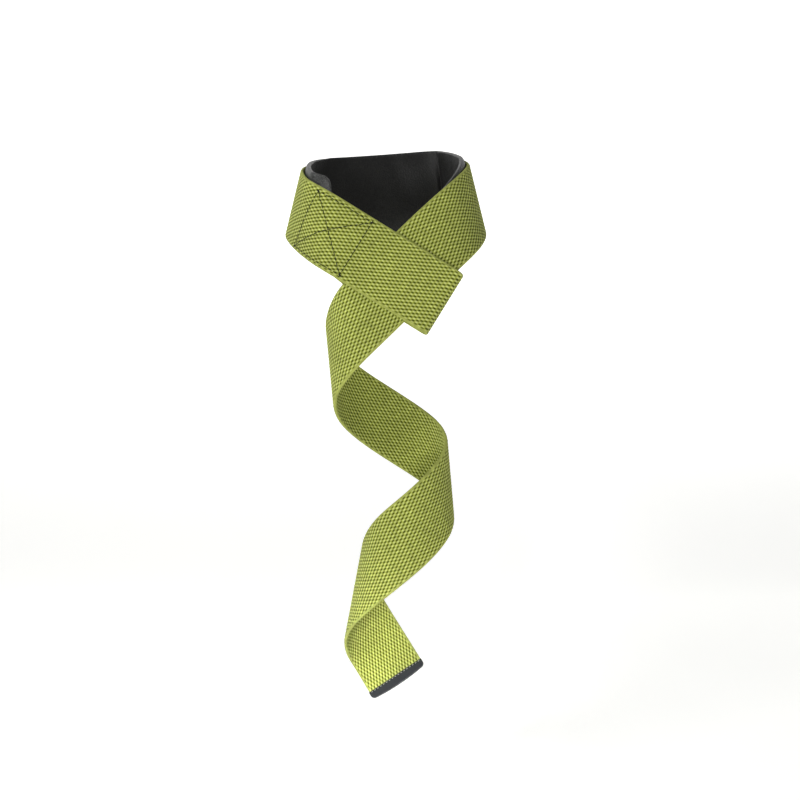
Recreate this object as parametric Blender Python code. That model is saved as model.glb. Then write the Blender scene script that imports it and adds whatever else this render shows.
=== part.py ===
"""Padded lasso lifting strap, hanging from its wrist loop.

One length of woven webbing is folded back at its end and sewn into a short slot. The webbing
runs from the slot as a flat flap, turns round the wrist, comes back through its own slot and
hangs down in an open twist. A pad lines the inside of the wrist loop, and a binding closes the
cut end of the tail.

The webbing bends but never stretches. Its shape is therefore worked out as a flat strip that
is rolled about straight lines across it: each row of a table gives a stretch of the strip, how
far it turns there, and how those lines slant.

Metres, +Z up, -Y is the side of the flap. The origin is the middle of the wrist loop.
"""

import math

import bmesh
import bpy
import numpy as np

# Webbing
STRAP_WIDTH = 0.038
STRAP_THICKNESS = 0.002
SELVEDGE = 0.0009
LOOP_LENGTH = 0.377
TAIL_LENGTH = 0.365

# Sewn slot at the folded end
FOLDED_LENGTH = 0.087
SLOT_LENGTH = 0.0515
SLOT_TAPER = 0.012
CROSSING_SHARE = 0.478
CROSSING_ANGLE = math.radians(75.8)
FLAP_SLOPE = math.radians(31.7)

# Wrist pad
PAD_THICKNESS = 0.0036
PAD_OVERHANG = 0.0035
PAD_END_INSET = 0.0010
PAD_NARROWING = 0.070
PAD_CORNER = 0.0014
PAD_LAP = 0.013
PAD_STOP = 0.0070
PAD_RAMP = 0.010

# End binding of the tail
TIP_DEPTH = 0.0055
TIP_WALL = 0.0009
TIP_NOSE = 0.0016

# Clearances between layers that touch
GAP = 0.0004
SLOT_PLAY = 0.0020

# Fineness of the faceted solids
FINE_STEP = 0.0006
TURN_STEP = math.radians(9.0)
LENGTH_STEP = 0.014
TAPER_STEP = 0.003
FOLD_STEP = math.radians(20.0)
ACROSS_SHARES = (-1.0, -0.67, -0.33, 0.0, 0.33, 0.67, 1.0)
FAN_SHARE = 0.9

# Stretches of the strip: name, share of its length, turn in degrees, slant in degrees.
# A positive turn rolls the strip round the wrist side, and a positive slant leans the
# rolling line forwards along the strip.
LOOP_ROWS = (
    ("flap", 0.166, 0.0, 0.0),
    ("flap_left", 0.056, 46.0, 52.0),
    ("left_front", 0.112, 42.0, -8.0),
    ("left_back", 0.075, 58.0, 40.0),
    ("back_wall", 0.203, 30.0, -10.0),
    ("crease", 0.035, 74.0, -8.0),
    ("right_wall", 0.121, 20.0, -8.0),
    ("right_turn", 0.165, 84.0, -33.0),
    ("return", 0.033, 4.0, -12.0),
    ("slot_in", 0.034, 0.0, 0.0),
)
TAIL_ROWS = (
    ("slot_out", 0.082, 0.0, -6.0),
    ("front_1", 0.035, 32.0, -54.0),
    ("left_1", 0.134, 101.0, -36.0),
    ("back_1", 0.181, 84.0, -41.0),
    ("right_1", 0.115, 104.0, -36.0),
    ("front_2", 0.121, 67.0, -35.0),
    ("left_2", 0.219, 120.0, -54.0),
    ("back_2", 0.070, 48.0, -8.0),
    ("tail_end", 0.043, 0.0, 0.0),
)
FIXED_ROWS = ("flap", "slot_in")

# Length over which one row's turn and slant pass into the next
TURN_BLEND = 0.010
SLANT_BLEND = 0.040

# How freely each value of a row gives way when the loop is closed
LENGTH_EASE = 0.008
TURN_EASE = math.radians(10.0)
SLANT_EASE = math.radians(5.0)
CLOSING_ROUNDS = 40
CLOSING_STRIDE = 0.5


def unit(vector):
    """The vector scaled to length 1."""
    return vector / np.linalg.norm(vector)


def rotated(vector, axis, angle):
    """The vector turned about a unit axis by an angle in radians."""
    side = np.cross(axis, vector)
    return (
        vector * math.cos(angle)
        + side * math.sin(angle)
        + axis * np.dot(axis, vector) * (1.0 - math.cos(angle))
    )


def smooth(share):
    """Soft step from 0 to 1."""
    share = np.clip(share, 0.0, 1.0)
    return share * share * (3.0 - 2.0 * share)


def windowed(ends, totals, places, window):
    """Mean over a window of a value whose running totals are known at the row ends."""
    first_slope = (totals[1] - totals[0]) / (ends[1] - ends[0])
    last_slope = (totals[-1] - totals[-2]) / (ends[-1] - ends[-2])

    def running(place):
        inside = np.interp(place, ends, totals)
        before = np.minimum(place - ends[0], 0.0) * first_slope
        after = np.maximum(place - ends[-1], 0.0) * last_slope
        return inside + before + after

    return (running(places + 0.5 * window) - running(places - 0.5 * window)) / window


def row_values(rows, total):
    """Lengths in metres, turns and slants in radians, one array each."""
    lengths = np.array([row[1] for row in rows]) * total
    turns = np.radians([row[2] for row in rows])
    slants = np.radians([row[3] for row in rows])
    return lengths, turns, slants


def lay_strip(lengths, turns, slants, start, step):
    """Roll a strip row by row from a starting frame.

    The frame is the centre, the direction along the strip and the direction across it.
    Returns arrays of the distance, centre, along, across and slant tangent.
    """
    centre, along, across = (np.array(item, float) for item in start)
    ends = np.concatenate([[0.0], np.cumsum(lengths)])
    turn_totals = np.concatenate([[0.0], np.cumsum(turns)])
    lean_totals = np.concatenate([[0.0], np.cumsum(np.tan(slants) * lengths)])
    count = max(int(round(ends[-1] / step)), 8)
    places = np.linspace(0.0, ends[-1], count + 1)
    middles = 0.5 * (places[:-1] + places[1:])
    rates = windowed(ends, turn_totals, middles, TURN_BLEND)
    leans = windowed(ends, lean_totals, middles, SLANT_BLEND)
    stride = ends[-1] / count
    table = np.zeros((count + 1, 10))
    table[0] = np.concatenate([[0.0], centre, along, across])
    for index in range(count):
        axis = unit(across + leans[index] * along)
        angle = -rates[index] * stride
        centre = centre + rotated(along, axis, 0.5 * angle) * stride
        along = unit(rotated(along, axis, angle))
        across = rotated(across, axis, angle)
        across = unit(across - np.dot(across, along) * along)
        table[index + 1, 0] = places[index + 1]
        table[index + 1, 1:] = np.concatenate([centre, along, across])
    lean_at = windowed(ends, lean_totals, places, SLANT_BLEND)
    return places, table[:, 1:4], table[:, 4:7], table[:, 7:10], lean_at


def picture_frame(angle):
    """Directions along and across for a strip that faces -Y, travelling at an angle from +X."""
    along = np.array([math.cos(angle), 0.0, math.sin(angle)])
    across = np.cross(along, np.array([0.0, -1.0, 0.0]))
    return along, across


def slot_frame(fold_centre):
    """Centre and directions of the strip where it crosses the middle of its own slot."""
    flap_along, _ = picture_frame(math.pi - FLAP_SLOPE)
    along, across = picture_frame(math.pi - FLAP_SLOPE + CROSSING_ANGLE)
    depth = STRAP_THICKNESS + GAP
    centre = fold_centre + flap_along * CROSSING_SHARE * SLOT_LENGTH
    return centre + np.array([0.0, depth, 0.0]), along, across


def closing_error(lengths, turns, slants, start, target, step):
    """How far the end of the loop is from the slot: three lengths and three angles."""
    _, centres, alongs, acrosses, _ = lay_strip(lengths, turns, slants, start, step)
    offset = centres[-1] - target[0]
    twist = 0.5 * (np.cross(alongs[-1], target[1]) + np.cross(acrosses[-1], target[2]))
    return np.concatenate([offset / STRAP_WIDTH, twist])


def closed_loop(rows, start, target):
    """Row values with the least change that brings the loop back into its slot."""
    lengths, turns, slants = row_values(rows, LOOP_LENGTH)
    free = np.array([row[0] not in FIXED_ROWS for row in rows], float)
    ease = np.concatenate([LENGTH_EASE * free, TURN_EASE * free, SLANT_EASE * free])
    values = np.concatenate([lengths, turns, slants])
    size = len(rows)
    step = 4.0 * FINE_STEP
    for _ in range(CLOSING_ROUNDS):
        parts = (values[:size], values[size:2 * size], values[2 * size:])
        error = closing_error(*parts, start, target, step)
        if np.abs(error).max() < 1e-8:
            if step == FINE_STEP:
                break
            step = FINE_STEP
            continue
        slopes = np.zeros((6, 3 * size))
        for index in np.flatnonzero(ease):
            nudge = 1e-3 * ease[index]
            moved = values.copy()
            moved[index] += nudge
            parts = (moved[:size], moved[size:2 * size], moved[2 * size:])
            changed = closing_error(*parts, start, target, step)
            slopes[:, index] = (changed - error) / nudge
        change = -np.linalg.pinv(slopes * ease) @ error
        change = change * min(1.0, CLOSING_STRIDE / np.abs(change).max())
        values = values + ease * change
    return values[:size], values[size:2 * size], values[2 * size:]


class BentStrap:
    """The webbing's middle surface: flat positions on the strap placed in space.

    A flat position is a distance along the strap from the fold, and a distance across it.
    Negative distances lie on the folded-back layer behind the flap.
    """

    def __init__(self):
        fold_centre = np.zeros(3)
        start = (fold_centre, *picture_frame(math.pi - FLAP_SLOPE))
        target = slot_frame(fold_centre)
        lengths, turns, slants = closed_loop(LOOP_ROWS, start, target)
        loop = lay_strip(lengths, turns, slants, start, FINE_STEP)
        tail_values = row_values(TAIL_ROWS, TAIL_LENGTH)
        tail = lay_strip(*tail_values, target, FINE_STEP)
        self.loop_length = loop[0][-1]
        self.total_length = self.loop_length + tail[0][-1]
        self.places = np.concatenate([loop[0], self.loop_length + tail[0][1:]])
        self.centres = np.concatenate([loop[1], tail[1][1:]])
        self.alongs = np.concatenate([loop[2], tail[2][1:]])
        self.acrosses = np.concatenate([loop[3], tail[3][1:]])
        self.leans = np.concatenate([loop[4], tail[4][1:]])
        self.normals = np.cross(self.acrosses, self.alongs)
        changes = np.linalg.norm(np.diff(self.normals, axis=0), axis=1)
        self.turned = np.concatenate([[0.0], np.cumsum(changes)])
        low = loop[1].min(axis=0)
        high = loop[1].max(axis=0)
        self.centres = self.centres - 0.5 * (low + high)

    def read(self, table, places):
        """Rows of a table at given distances along the strap."""
        return np.stack([np.interp(places, self.places, column) for column in table.T], axis=-1)

    def rolling_line(self, along, across):
        """Distance at which the rolling line through a flat position meets the strap's middle."""
        line = np.empty(along.shape)
        for value in np.unique(across):
            here = across == value
            line[here] = np.interp(along[here], self.places + value * self.leans, self.places)
        return line

    def front(self, along, across, out):
        """Points of the single layer that runs from the fold to the end of the tail."""
        line = self.rolling_line(along, across)
        lean = np.interp(line, self.places, self.leans)
        overrun = (along - line - across * lean)[..., None]
        rolling = self.read(self.acrosses, line) + lean[..., None] * self.read(self.alongs, line)
        centre = self.read(self.centres, line) + overrun * self.read(self.alongs, line)
        return centre + across[..., None] * rolling + out[..., None] * self.read(self.normals, line)

    def layer_depth(self, distance):
        """Depth of the folded-back layer behind the flap, at a distance from the fold."""
        closed = STRAP_THICKNESS + GAP
        opened = 2.0 * STRAP_THICKNESS + GAP + SLOT_PLAY
        share = smooth((SLOT_LENGTH + SLOT_TAPER - distance) / SLOT_TAPER)
        return closed + (opened - closed) * share

    def fold_radius(self):
        """Radius of the middle surface round the fold."""
        return 0.5 * self.layer_depth(np.array(0.0))

    def point(self, along, across, out):
        """Points at flat positions, raised by out towards the strap's outer face."""
        along, across, out = np.broadcast_arrays(*(np.asarray(v, float) for v in (along, across, out)))
        radius = self.fold_radius()
        bend = math.pi * radius
        behind = np.maximum(-along - bend, 0.0)
        front = self.front(np.maximum(along, 0.0), across, out)
        back = self.front(behind, across, -self.layer_depth(behind) - out)
        angle = np.clip(-along, 0.0, bend) / radius
        reach = (radius + out) * np.sin(angle)
        depth = radius - (radius + out) * np.cos(angle)
        fold = self.front(-reach, across, -depth)
        result = np.where((along < 0.0)[..., None], fold, front)
        return np.where((along < -bend)[..., None], back, result)


def ring_along(strap, place, across, first, last):
    """Distances along one mesh ring, which follows the strap's own rolling line.

    Near the square-cut ends at first and last the line is held back, so that it stays
    between them.
    """
    lean = np.interp(place, strap.places, strap.leans)
    reach = FAN_SHARE * min(place - first, last - place) / np.abs(across).max()
    return place + across * np.clip(lean, -reach, reach)


def stations(strap, first, last, extra=0.0):
    """Distances along the strap, close together where it turns and wide where it is flat."""
    places = np.arange(first, last + FINE_STEP, FINE_STEP)
    turned = np.interp(places, strap.places, strap.turned)
    load = turned / TURN_STEP + (places - first) * (1.0 / LENGTH_STEP + extra)
    load = load - load[0]
    count = math.ceil(load[-1])
    chosen = np.interp(np.linspace(0.0, load[-1], count + 1), load, places)
    chosen[-1] = last
    return chosen


def strap_section(half_width, half_thickness, corner):
    """Outline across the strap: across and out distances, all the way round."""
    flat = [share * (half_width - corner) for share in ACROSS_SHARES]
    upper = [(across, half_thickness) for across in flat]
    lower = [(across, -half_thickness) for across in reversed(flat)]
    lip = 0.45 * half_thickness
    right = [(half_width, lip), (half_width, -lip)]
    left = [(-half_width, -lip), (-half_width, lip)]
    return np.array(upper + right + lower + left)


def swept_mesh(name, rings, cap=None):
    """Closed mesh through rings of points, capped at both ends.

    A cap is one face, or the faces whose ring positions are given.
    """
    mesh = bpy.data.meshes.new(name)
    model = bmesh.new()
    loops = [[model.verts.new(point) for point in ring] for ring in rings]
    for first, second in zip(loops, loops[1:]):
        for index in range(len(first)):
            follower = (index + 1) % len(first)
            model.faces.new((first[index], first[follower], second[follower], second[index]))
    for corners in cap or [tuple(range(len(loops[0])))]:
        model.faces.new([loops[0][index] for index in reversed(corners)])
        model.faces.new([loops[-1][index] for index in corners])
    bmesh.ops.triangulate(model, faces=model.faces[:])
    bmesh.ops.recalc_face_normals(model, faces=model.faces[:])
    if model.calc_volume(signed=True) < 0.0:
        bmesh.ops.reverse_faces(model, faces=model.faces[:])
    model.to_mesh(mesh)
    model.free()
    return mesh


def finish(name, colour, roughness):
    """Plain material of a sub-part, its colour given as red, green and blue."""
    material = bpy.data.materials.new(name)
    material.use_nodes = True
    shader = material.node_tree.nodes["Principled BSDF"]
    shader.inputs["Base Color"].default_value = (*colour, 1.0)
    shader.inputs["Roughness"].default_value = roughness
    shader.inputs["Metallic"].default_value = 0.0
    return material


def add_object(name, mesh, material):
    """Put a mesh into the scene as one named sub-part."""
    mesh.materials.append(material)
    item = bpy.data.objects.new(name, mesh)
    bpy.context.scene.collection.objects.link(item)
    return item


def build_webbing(strap):
    """The one length of webbing, from its folded-back end to the end of the tail."""
    section = strap_section(0.5 * STRAP_WIDTH, 0.5 * STRAP_THICKNESS, SELVEDGE)
    across, out = section[:, 0], section[:, 1]
    bend = math.pi * strap.fold_radius()
    folds = math.ceil(math.pi / FOLD_STEP)
    rings = []
    for place in stations(strap, 0.0, FOLDED_LENGTH, 1.0 / TAPER_STEP)[::-1]:
        behind = ring_along(strap, place, across, 0.0, FOLDED_LENGTH)
        rings.append(strap.point(-bend - behind, across, out))
    for index in range(1, folds):
        rings.append(strap.point(-bend * (1.0 - index / folds), across, out))
    for place in stations(strap, 0.0, strap.total_length):
        along = ring_along(strap, place, across, 0.0, strap.total_length)
        rings.append(strap.point(along, across, out))
    return add_object("strap_webbing", swept_mesh("strap_webbing", rings),
                      finish("cotton_webbing", (0.30, 0.34, 0.075), 0.9))


def pad_lift(place):
    """Extra distance of the pad where it laps over the end of the folded-back layer."""
    clear = FOLDED_LENGTH + GAP
    share = smooth((place - clear) / PAD_RAMP)
    return (STRAP_THICKNESS + GAP) * (1.0 - share)


def pad_ends(strap):
    """Distances along the strap at which the pad starts and stops."""
    end_half = 0.5 * STRAP_WIDTH - PAD_END_INSET
    flap_reach = 0.5 * STRAP_WIDTH + end_half * math.cos(CROSSING_ANGLE)
    first = FOLDED_LENGTH - PAD_LAP
    last = strap.loop_length - flap_reach / math.sin(CROSSING_ANGLE) - PAD_STOP
    return first, last


def pad_half_width(place, first, last):
    """Half of the pad's width: wider than the webbing, but narrowing to both of its ends."""
    share = smooth(min(place - first, last - place) / PAD_NARROWING)
    beyond = PAD_OVERHANG * share - PAD_END_INSET * (1.0 - share)
    return 0.5 * STRAP_WIDTH + beyond


def build_pad(strap):
    """The soft pad along the wrist side of the loop."""
    first, last = pad_ends(strap)
    middle = 0.5 * STRAP_THICKNESS + GAP + 0.5 * PAD_THICKNESS
    rings = []
    for place in stations(strap, first, last):
        half_width = pad_half_width(place, first, last)
        section = strap_section(half_width, 0.5 * PAD_THICKNESS, PAD_CORNER)
        across = section[:, 0]
        along = ring_along(strap, place, across, first, last)
        out = section[:, 1] - middle - pad_lift(along)
        rings.append(strap.point(along, across, out))
    return add_object("wrist_pad", swept_mesh("wrist_pad", rings),
                      finish("foam_pad", (0.012, 0.012, 0.012), 0.8))


def tip_outline(strap):
    """Side outline of the binding, and the faces that close it.

    The outline holds along and out distances of a U that is open to the tail. Its outer side
    comes first, from the back edge round the nose, and its inner side returns.
    """
    end = strap.total_length
    inner = 0.5 * STRAP_THICKNESS + GAP
    outer = inner + TIP_WALL
    back = end - TIP_DEPTH + TIP_NOSE
    shoulder = end + GAP
    bevel = shoulder + 0.6 * TIP_NOSE
    nose = shoulder + TIP_NOSE
    upper = [(back, outer), (shoulder, outer), (bevel, 0.7 * outer), (nose, 0.25 * outer)]
    lower = [(along, -out) for along, out in reversed(upper)]
    inside = [(back, -inner), (shoulder, -inner), (shoulder, inner), (back, inner)]
    upper_cap = [(0, 1, 10, 11), (1, 2, 10), (2, 3, 10)]
    lower_cap = [(4, 5, 9), (5, 6, 9), (6, 7, 8, 9)]
    return upper + lower + inside, upper_cap + [(3, 4, 9, 10)] + lower_cap


def build_tip(strap):
    """The binding folded over the cut end of the tail."""
    half_width = 0.5 * STRAP_WIDTH + GAP
    outline, cap = tip_outline(strap)
    outline = np.array(outline)
    rings = []
    for share in ACROSS_SHARES:
        rings.append(strap.point(outline[:, 0], share * half_width, outline[:, 1]))
    return add_object("tail_end_tip", swept_mesh("tail_end_tip", rings, cap),
                      finish("binding_tape", (0.03, 0.033, 0.038), 0.5))


def main():
    """Empty the scene and build the three pieces."""
    for item in list(bpy.data.objects):
        bpy.data.objects.remove(item, do_unlink=True)
    strap = BentStrap()
    build_webbing(strap)
    build_pad(strap)
    build_tip(strap)


main()
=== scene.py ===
"""Dressed model of a padded lasso lifting strap that hangs from its wrist loop.

The webbing is one flat strip that is rolled about straight lines across it, so that it bends but
never stretches. StrapPath places any flat position of the strip in space. The woven relief, the
pad, the end binding and every stitch are laid out flat first and then carried onto that path.

Metres, +Z up, -Y is the side of the sewn flap.
"""

from __future__ import annotations

import logging
import math
from dataclasses import dataclass, field
from enum import Enum
from typing import Any, Sequence

import bpy
import numpy as np
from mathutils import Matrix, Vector


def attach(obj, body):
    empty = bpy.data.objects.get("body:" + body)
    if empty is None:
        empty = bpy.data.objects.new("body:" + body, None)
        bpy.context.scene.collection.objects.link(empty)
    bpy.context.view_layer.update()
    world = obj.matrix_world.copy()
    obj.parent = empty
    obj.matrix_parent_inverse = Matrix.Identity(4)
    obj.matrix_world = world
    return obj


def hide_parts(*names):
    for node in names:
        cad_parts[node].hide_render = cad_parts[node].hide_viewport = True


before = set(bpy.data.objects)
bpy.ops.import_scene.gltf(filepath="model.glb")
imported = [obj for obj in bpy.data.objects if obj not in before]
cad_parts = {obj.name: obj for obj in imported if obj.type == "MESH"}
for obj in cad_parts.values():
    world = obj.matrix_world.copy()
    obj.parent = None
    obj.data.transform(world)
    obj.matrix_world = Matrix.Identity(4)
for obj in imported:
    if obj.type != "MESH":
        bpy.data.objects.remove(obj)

LOG = logging.getLogger("lifting_strap")
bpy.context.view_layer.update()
ROOT = "root"
MM = 0.001
# Settings that many nodes share.
TIMES = {"operation": "MULTIPLY"}
TIMES_PLUS = {"operation": "MULTIPLY_ADD"}
EASED = {"interpolation_type": "SMOOTHSTEP"}
MIX_COLOURS = {"data_type": "RGBA"}
# Sockets of the colour mix, which go by number because its other types share their names.
MIX_A, MIX_B, MIX_RESULT = 6, 7, 2
# Length of one band of Blender's wave texture at scale 1, in metres.
WAVE_PERIOD = 0.314


class Held(Enum):
    """How a length of webbing is carried."""

    FOLDED = "folded"
    HUNG = "hung"
    STRETCHED = "stretched"


class Slot(Enum):
    """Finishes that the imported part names."""

    WEBBING = "webbing"
    PAD = "pad"
    TIP = "tip"


def linear(colour: str) -> tuple[float, float, float, float]:
    """Turn an sRGB hex colour into linear red, green, blue and alpha.

    Args:
        colour: Six hex digits after a hash.

    Returns:
        Four numbers, with alpha 1.
    """
    parts = [int(colour[start:start + 2], 16) / 255.0 for start in (1, 3, 5)]
    turned = [p / 12.92 if p <= 0.04045 else ((p + 0.055) / 1.055) ** 2.4 for p in parts]
    return turned[0], turned[1], turned[2], 1.0


def add_node(tree: bpy.types.NodeTree, kind: str, settings: dict[str, Any] | None = None,
             inputs: dict[Any, Any] | None = None) -> bpy.types.Node:
    """Add a node with its settings, and link or fill its inputs.

    Args:
        tree: Tree that takes the node.
        kind: Blender's name of the node type.
        settings: Properties of the node.
        inputs: Values or output sockets by input name or number.

    Returns:
        The new node.
    """
    node = tree.nodes.new(kind)
    for name, value in (settings or {}).items():
        setattr(node, name, value)
    for name, value in (inputs or {}).items():
        if isinstance(value, bpy.types.NodeSocket):
            tree.links.new(value, node.inputs[name])
        else:
            node.inputs[name].default_value = value
    return node


def new_surface(name: str, values: dict[str, Any]) -> tuple[bpy.types.Material, bpy.types.Node]:
    """Start a material, with plain values on its shader's own sockets.

    Args:
        name: Name of the real finish.
        values: Numbers or colours by the name of the shader's input.

    Returns:
        The material and its surface shader.
    """
    material = bpy.data.materials.new(name)
    material.use_nodes = True
    shader = material.node_tree.nodes["Principled BSDF"]
    for label, value in values.items():
        shader.inputs[label].default_value = value
    return material, shader


def new_object(name: str, data: bpy.types.ID) -> bpy.types.Object:
    """Make an object of its data and put it in the scene.

    Args:
        name: Name of the object.
        data: Its mesh, light or camera.

    Returns:
        The new object.
    """
    item = bpy.data.objects.new(name, data)
    bpy.context.scene.collection.objects.link(item)
    return item


def smooth(share: np.ndarray) -> np.ndarray:
    """Soft step from 0 to 1."""
    share = np.clip(share, 0.0, 1.0)
    return share * share * (3.0 - 2.0 * share)


def unit(vector: np.ndarray) -> np.ndarray:
    """The vector scaled to length 1."""
    return vector / np.linalg.norm(vector)


def rotated(vector: np.ndarray, axis: np.ndarray, angle: float) -> np.ndarray:
    """Turn a vector about a unit axis.

    Args:
        vector: What is turned.
        axis: Unit axis of the turn.
        angle: Angle in radians.

    Returns:
        The turned vector.
    """
    side = np.cross(axis, vector)
    along = axis * np.dot(axis, vector) * (1.0 - math.cos(angle))
    return vector * math.cos(angle) + side * math.sin(angle) + along


@dataclass(frozen=True)
class Stretch:
    """One stretch of the strip: its share of the length, its turn and its slant in degrees."""

    name: str
    share: float
    turn: float
    slant: float


LOOP_STRETCHES = (
    Stretch("flap", 0.166, 0.0, 0.0),
    Stretch("flap_left", 0.056, 46.0, 52.0),
    Stretch("left_front", 0.112, 42.0, -8.0),
    Stretch("left_back", 0.075, 58.0, 40.0),
    Stretch("back_wall", 0.203, 30.0, -10.0),
    Stretch("crease", 0.035, 74.0, -8.0),
    Stretch("right_wall", 0.121, 20.0, -8.0),
    Stretch("right_turn", 0.165, 84.0, -33.0),
    Stretch("return", 0.033, 4.0, -12.0),
    Stretch("slot_in", 0.034, 0.0, 0.0),
)
TAIL_STRETCHES = (
    Stretch("slot_out", 0.082, 0.0, -6.0),
    Stretch("front_1", 0.035, 32.0, -54.0),
    Stretch("left_1", 0.134, 101.0, -36.0),
    Stretch("back_1", 0.181, 84.0, -41.0),
    Stretch("right_1", 0.115, 104.0, -36.0),
    Stretch("front_2", 0.121, 67.0, -35.0),
    Stretch("left_2", 0.219, 120.0, -54.0),
    Stretch("back_2", 0.070, 48.0, -8.0),
    Stretch("tail_end", 0.043, 0.0, 0.0),
)
FIXED_STRETCHES = ("flap", "slot_in")


@dataclass(frozen=True)
class StrapSizes:
    """Sizes of the webbing and of its sewn slot, in metres and radians.

    The eases say how far each kind of value may give when the loop is closed, and the closing
    values steer the solver that closes it.
    """

    width: float = 0.038
    thickness: float = 0.002
    loop_length: float = 0.377
    tail_length: float = 0.365
    folded_length: float = 0.087
    slot_length: float = 0.0515
    slot_taper: float = 0.012
    crossing_share: float = 0.478
    crossing_angle: float = math.radians(75.8)
    flap_slope: float = math.radians(31.7)
    gap: float = 0.0004
    slot_play: float = 0.0020
    step: float = 0.0006
    turn_blend: float = 0.010
    slant_blend: float = 0.040
    length_ease: float = 0.008
    turn_ease: float = math.radians(10.0)
    slant_ease: float = math.radians(5.0)
    closing_rounds: int = 40
    closing_stride: float = 0.5
    closing_coarseness: float = 4.0
    closing_limit: float = 1e-8
    closing_nudge: float = 1e-3


@dataclass
class Strip:
    """A laid strip: distance, centre, directions along and across, and the slant's tangent."""

    places: np.ndarray
    centres: np.ndarray
    alongs: np.ndarray
    acrosses: np.ndarray
    leans: np.ndarray


@dataclass
class StrapPath:
    """The webbing's middle surface: flat positions on the strap placed in space.

    A flat position is a distance along the strap from the fold and a distance across it.
    Negative distances lie on the folded-back layer behind the flap.
    """

    sizes: StrapSizes = field(default_factory=StrapSizes)

    def __post_init__(self) -> None:
        """Lay the loop and the tail, and centre them on the loop."""
        sizes = self.sizes
        start = (np.zeros(3), *self.picture_frame(math.pi - sizes.flap_slope))
        target = self.slot_frame()
        loop = self.lay(self.closed_values(start, target), start, sizes.step)
        tail_values = self.values_of(TAIL_STRETCHES, sizes.tail_length)
        tail = self.lay(tail_values, target, sizes.step)
        self.loop_length = float(loop.places[-1])
        self.total_length = self.loop_length + float(tail.places[-1])
        self.places = np.concatenate([loop.places, self.loop_length + tail.places[1:]])
        self.centres = np.concatenate([loop.centres, tail.centres[1:]])
        self.alongs = np.concatenate([loop.alongs, tail.alongs[1:]])
        self.acrosses = np.concatenate([loop.acrosses, tail.acrosses[1:]])
        self.leans = np.concatenate([loop.leans, tail.leans[1:]])
        self.normals = np.cross(self.acrosses, self.alongs)
        low, high = loop.centres.min(axis=0), loop.centres.max(axis=0)
        self.centres = self.centres - 0.5 * (low + high)
        self.fold_radius = 0.5 * float(self.layer_depth(np.array(0.0)))
        self.bend = math.pi * self.fold_radius

    @staticmethod
    def values_of(stretches: Sequence[Stretch], total: float) -> np.ndarray:
        """Put the values of the stretches in one array.

        Args:
            stretches: The stretches in their order.
            total: Length that their shares are taken of.

        Returns:
            All the lengths, then all the turns, then all the slants.
        """
        lengths = np.array([item.share for item in stretches]) * total
        turns = np.radians([item.turn for item in stretches])
        slants = np.radians([item.slant for item in stretches])
        return np.concatenate([lengths, turns, slants])

    @staticmethod
    def picture_frame(angle: float) -> tuple[np.ndarray, np.ndarray]:
        """Directions along and across for a strip that faces -Y, at an angle from +X."""
        along = np.array([math.cos(angle), 0.0, math.sin(angle)])
        return along, np.cross(along, np.array([0.0, -1.0, 0.0]))

    def slot_frame(self) -> tuple[np.ndarray, np.ndarray, np.ndarray]:
        """Where the strap passes through its own slot.

        Returns:
            Centre, direction along and direction across in the middle of the slot.
        """
        sizes = self.sizes
        flap_along, _ = self.picture_frame(math.pi - sizes.flap_slope)
        along, across = self.picture_frame(math.pi - sizes.flap_slope + sizes.crossing_angle)
        centre = flap_along * sizes.crossing_share * sizes.slot_length
        return centre + np.array([0.0, sizes.thickness + sizes.gap, 0.0]), along, across

    @staticmethod
    def windowed(ends: np.ndarray, totals: np.ndarray, places: np.ndarray,
                 window: float) -> np.ndarray:
        """Mean over a window of a value whose running totals are known where stretches end.

        Args:
            ends: Distances at which the stretches end, with the start first.
            totals: Running totals there.
            places: Distances at which the mean is wanted.
            window: Length of the window.

        Returns:
            One mean for each place.
        """
        first_slope = (totals[1] - totals[0]) / (ends[1] - ends[0])
        last_slope = (totals[-1] - totals[-2]) / (ends[-1] - ends[-2])

        def running(place: np.ndarray) -> np.ndarray:
            """Running total, carried on straight past both ends."""
            before = np.minimum(place - ends[0], 0.0) * first_slope
            after = np.maximum(place - ends[-1], 0.0) * last_slope
            return np.interp(place, ends, totals) + before + after

        return (running(places + 0.5 * window) - running(places - 0.5 * window)) / window

    def lay(self, values: np.ndarray, start: Sequence[np.ndarray], step: float) -> Strip:
        """Roll a strip stretch by stretch from a starting frame.

        Args:
            values: Lengths, turns and slants, as values_of gives them.
            start: Centre, direction along and direction across.
            step: Distance between the points.

        Returns:
            The laid strip.
        """
        lengths, turns, slants = np.split(values, 3)
        centre, along, across = (np.array(item, float) for item in start)
        ends = np.concatenate([[0.0], np.cumsum(lengths)])
        turn_totals = np.concatenate([[0.0], np.cumsum(turns)])
        lean_totals = np.concatenate([[0.0], np.cumsum(np.tan(slants) * lengths)])
        count = max(int(round(ends[-1] / step)), 8)
        places = np.linspace(0.0, ends[-1], count + 1)
        middles = 0.5 * (places[:-1] + places[1:])
        rates = self.windowed(ends, turn_totals, middles, self.sizes.turn_blend)
        leans = self.windowed(ends, lean_totals, middles, self.sizes.slant_blend)
        stride = ends[-1] / count
        table = np.zeros((count + 1, 9))
        table[0] = np.concatenate([centre, along, across])
        for index in range(count):
            axis = unit(across + leans[index] * along)
            angle = -rates[index] * stride
            centre = centre + rotated(along, axis, 0.5 * angle) * stride
            along = unit(rotated(along, axis, angle))
            across = rotated(across, axis, angle)
            across = unit(across - np.dot(across, along) * along)
            table[index + 1] = np.concatenate([centre, along, across])
        lean_at = self.windowed(ends, lean_totals, places, self.sizes.slant_blend)
        return Strip(places, table[:, :3], table[:, 3:6], table[:, 6:], lean_at)

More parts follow.
